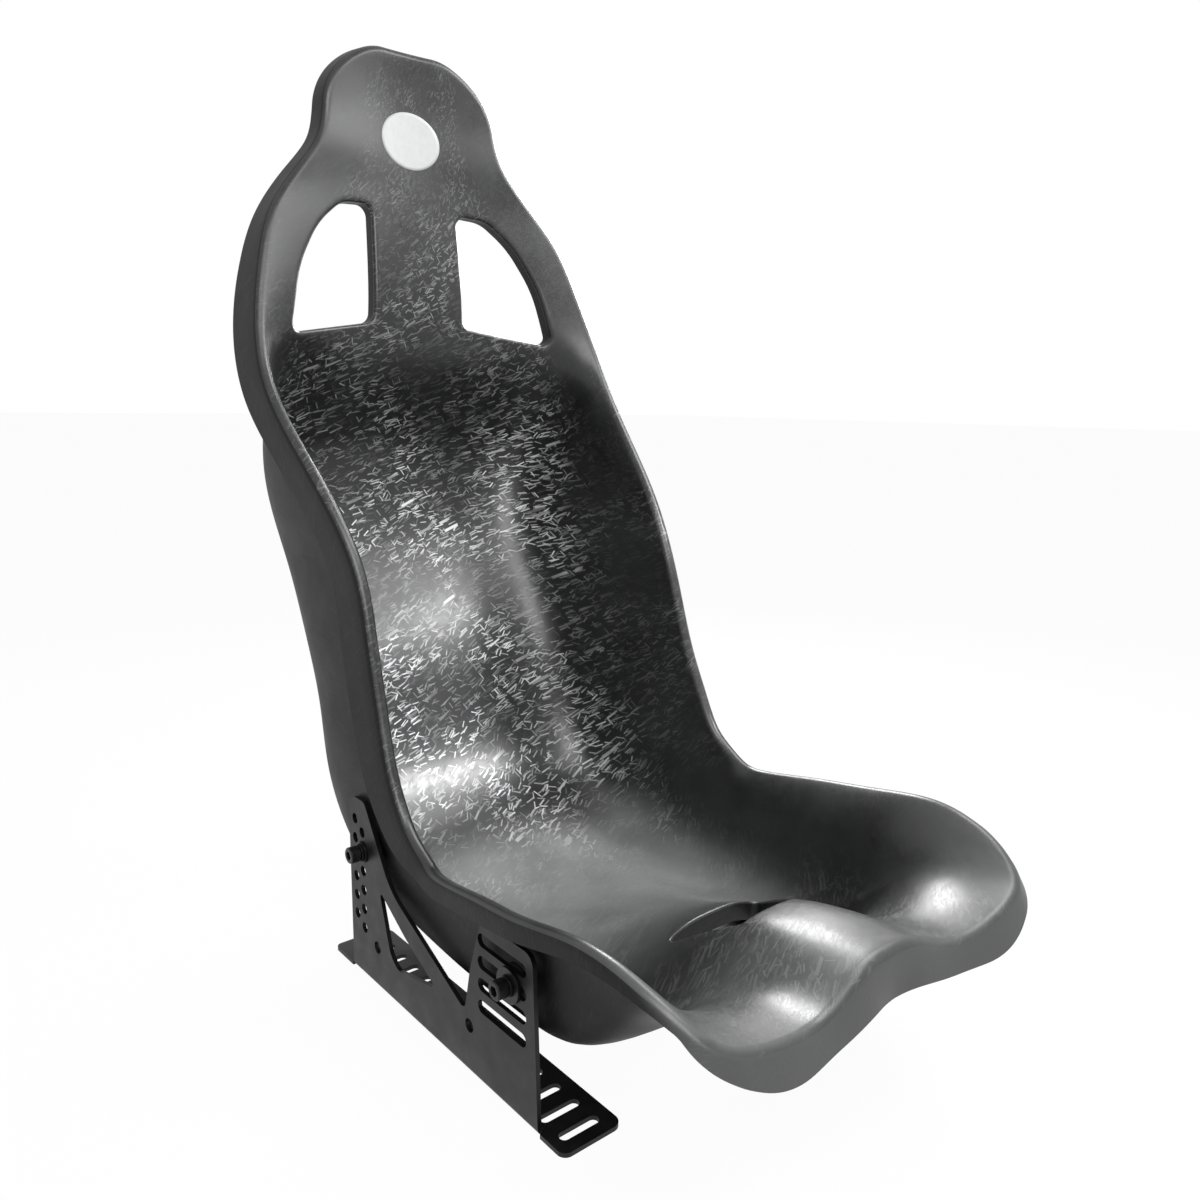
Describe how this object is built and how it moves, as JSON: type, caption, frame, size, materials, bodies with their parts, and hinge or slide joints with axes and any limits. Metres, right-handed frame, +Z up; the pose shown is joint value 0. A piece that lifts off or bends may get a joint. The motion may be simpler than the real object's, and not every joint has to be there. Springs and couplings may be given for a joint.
{
  "type": "racing seat",
  "caption": "Fixed-back bucket racing seat: a one-piece composite shell with harness openings, bolted between two slotted steel side brackets.",
  "frame": {"origin": "centre of the seat's footprint, on the floor plane under both brackets", "axes": "+Z up, +X to the sitter's left, -Y the way the sitter faces"},
  "size_m": [0.4508, 0.7616, 0.9432],
  "materials": {
    "laminate": "satin-gloss moulded composite, dark grey with short random fibre flakes, satin black on its turned-back edge and its back",
    "powder_coat": "satin black powder coat",
    "black_steel": "black oxide steel, slightly oily",
    "zinc_steel": "zinc plated, satin",
    "nylon": "black nylon, matt"
  },
  "bodies": {
    "root": {"bracket_left": "powder_coat", "bracket_right": "powder_coat", "insert_front_left": "zinc_steel", "insert_front_right": "zinc_steel", "insert_rear_left": "zinc_steel", "insert_rear_right": "zinc_steel", "screw_front_left": "black_steel", "screw_front_right": "black_steel", "screw_rear_left": "black_steel", "screw_rear_right": "black_steel", "shell": "laminate", "spacer_front_left": "nylon", "spacer_front_right": "nylon", "spacer_rear_left": "nylon", "spacer_rear_right": "nylon", "spring_washer_front_left": "black_steel", "spring_washer_front_right": "black_steel", "spring_washer_rear_left": "black_steel", "spring_washer_rear_right": "black_steel", "washer_front_left": "black_steel", "washer_front_right": "black_steel", "washer_rear_left": "black_steel", "washer_rear_right": "black_steel"}
  },
  "joints": []
}
